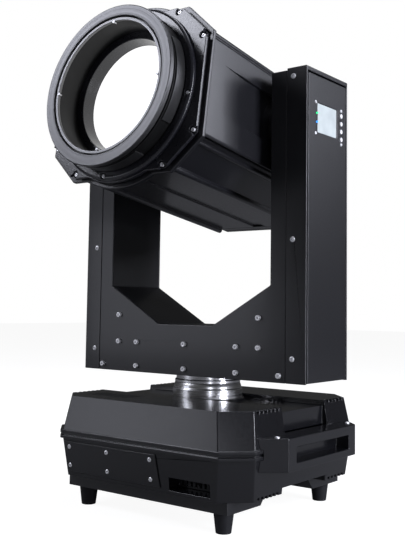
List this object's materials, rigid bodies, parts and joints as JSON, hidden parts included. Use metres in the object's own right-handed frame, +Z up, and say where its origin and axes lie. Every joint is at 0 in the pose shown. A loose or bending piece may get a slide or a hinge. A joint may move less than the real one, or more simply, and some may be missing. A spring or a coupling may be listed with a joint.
{
  "type": "moving head light",
  "caption": "Stage moving head light: footed base with handles, panning yoke with display and buttons, tilting octagonal head with round hood and lens.",
  "frame": {"origin": "on the ground under the pan axis, in the middle of the object's box", "axes": "+Z up along the pan axis; +X along the tilt axis towards the arm with the display; the head faces -Y, raised 8.5 degrees"},
  "size_m": [0.4029, 0.4837, 0.6876],
  "materials": {
    "tray_metal": "fine matt powder coat",
    "shell_black": "semi-gloss moulded",
    "cover_black": "satin paint",
    "dark_plastic": "matt",
    "blue_plastic": "semi-gloss",
    "socket_metal": "satin nickel",
    "rubber_black": "matt",
    "screw_steel": "bright zinc",
    "screw_grey": "satin",
    "polished_metal": "turned and polished",
    "bearing_steel": "ground",
    "pulley_metal": "machined",
    "plain_aluminium": "plain",
    "motor_dark": "satin",
    "belt_rubber": "matt",
    "yoke_metal": "satin powder coat",
    "head_metal": "satin paint",
    "hood_metal": "dark anodised, finely turned",
    "window_glass": "pale display",
    "board_green": "solder resist",
    "light_plastic": "clear tinted",
    "button_chrome": "satin chrome",
    "lens_glass": "polished",
    "focus_glass": "polished",
    "wheel_metal": "satin"
  },
  "bodies": {
    "base": {"base_tray": "tray_metal", "base_lower_shell": "shell_black", "base_upper_shell": "shell_black", "handle_left": "shell_black", "handle_right": "shell_black", "base_screws": "screw_steel", "rubber_feet": "rubber_black", "access_cover": "cover_black", "vent_panel": "dark_plastic", "connector_plate": "cover_black", "power_inlet": "blue_plastic", "data_sockets": "socket_metal", "pan_collar": "polished_metal", "pan_bearing": "bearing_steel", "pan_motor": "motor_dark", "pan_belt": "belt_rubber", "power_supply": "plain_aluminium"},
    "yoke": {"pan_ring_pulley": "pulley_metal", "pan_hub": "polished_metal", "yoke_frame": "yoke_metal", "yoke_front_plate": "yoke_metal", "yoke_rear_plate": "yoke_metal", "arm_cover_left": "yoke_metal", "arm_cover_right": "yoke_metal", "side_panel_left": "yoke_metal", "side_panel_right": "yoke_metal", "plate_screws": "screw_steel", "cover_screws": "screw_grey", "display_window": "window_glass", "display_board": "board_green", "status_lights": "light_plastic", "tilt_motor": "motor_dark", "tilt_belt": "belt_rubber", "tilt_bearings": "bearing_steel"},
    "head": {"head_shell": "head_metal", "head_side_panels": "head_metal", "head_front_plate": "head_metal", "head_gasket": "rubber_black", "head_screws": "screw_steel", "hood_flange": "head_metal", "lens_hood": "hood_metal", "retaining_ring": "polished_metal", "front_lens": "lens_glass", "rear_cover": "head_metal", "fan_frame": "dark_plastic", "tilt_hubs": "plain_aluminium", "tilt_ring_pulley": "pulley_metal", "head_chassis": "plain_aluminium", "effect_motors": "motor_dark", "light_engine": "plain_aluminium"},
    "pan_drive": {"pan_drive_pulley": "pulley_metal"},
    "tilt_drive": {"tilt_drive_pulley": "pulley_metal"},
    "fan": {"fan_rotor": "dark_plastic"},
    "colour": {"colour_wheel": "wheel_metal"},
    "gobo": {"gobo_wheel": "wheel_metal"},
    "focus": {"focus_lens": "focus_glass"},
    "button_1": {"menu_button_1": "button_chrome"},
    "button_2": {"menu_button_2": "button_chrome"},
    "button_3": {"menu_button_3": "button_chrome"},
    "button_4": {"menu_button_4": "button_chrome"}
  },
  "joints": [
    {"name": "pan", "type": "hinge", "parent": "base", "child": "yoke", "pos_m": [0, 0, 0.16], "axis": [0, 0, 1], "range_deg": [-270, 270]},
    {"name": "tilt", "type": "hinge", "parent": "yoke", "child": "head", "pos_m": [0, 0, 0.535], "axis": [1, 0, 0], "range_deg": [-216.5, 53.5]},
    {"name": "pan_drive_turn", "type": "hinge", "parent": "base", "child": "pan_drive", "pos_m": [0, 0.102, 0.12], "axis": [0, 0, 1], "range_deg": [-1360, 1360]},
    {"name": "tilt_drive_turn", "type": "hinge", "parent": "yoke", "child": "tilt_drive", "pos_m": [-0.1655, 0, 0.385], "axis": [1, 0, 0], "range_deg": [-870, 220]},
    {"name": "fan_turn", "type": "hinge", "parent": "head", "child": "fan", "pos_m": [0, 0.20967, 0.50366], "axis": [0, -0.989, 0.1478], "continuous": true},
    {"name": "colour_turn", "type": "hinge", "parent": "head", "child": "colour", "pos_m": [0, -0.05507, 0.50481], "axis": [0, -0.989, 0.1478], "continuous": true},
    {"name": "gobo_turn", "type": "hinge", "parent": "head", "child": "gobo", "pos_m": [0, -0.05175, 0.58116], "axis": [0, -0.989, 0.1478], "continuous": true},
    {"name": "focus_slide", "type": "slide", "parent": "head", "child": "focus", "axis": [0, -0.989, 0.1478], "range_m": [-0.022, 0.018]},
    {"name": "button_1_press", "type": "slide", "parent": "yoke", "child": "button_1", "axis": [-1, 0, 0], "range_m": [0, 0.001], "stiffness_N_per_m": 400, "springref_m": -0.0005},
    {"name": "button_2_press", "type": "slide", "parent": "yoke", "child": "button_2", "axis": [-1, 0, 0], "range_m": [0, 0.001], "stiffness_N_per_m": 400, "springref_m": -0.0005},
    {"name": "button_3_press", "type": "slide", "parent": "yoke", "child": "button_3", "axis": [-1, 0, 0], "range_m": [0, 0.001], "stiffness_N_per_m": 400, "springref_m": -0.0005},
    {"name": "button_4_press", "type": "slide", "parent": "yoke", "child": "button_4", "axis": [-1, 0, 0], "range_m": [0, 0.001], "stiffness_N_per_m": 400, "springref_m": -0.0005}
  ],
  "couplings": [
    {"joint": "pan_drive_turn", "follows": "pan", "ratio": 5},
    {"joint": "tilt_drive_turn", "follows": "tilt", "ratio": 4}
  ]
}
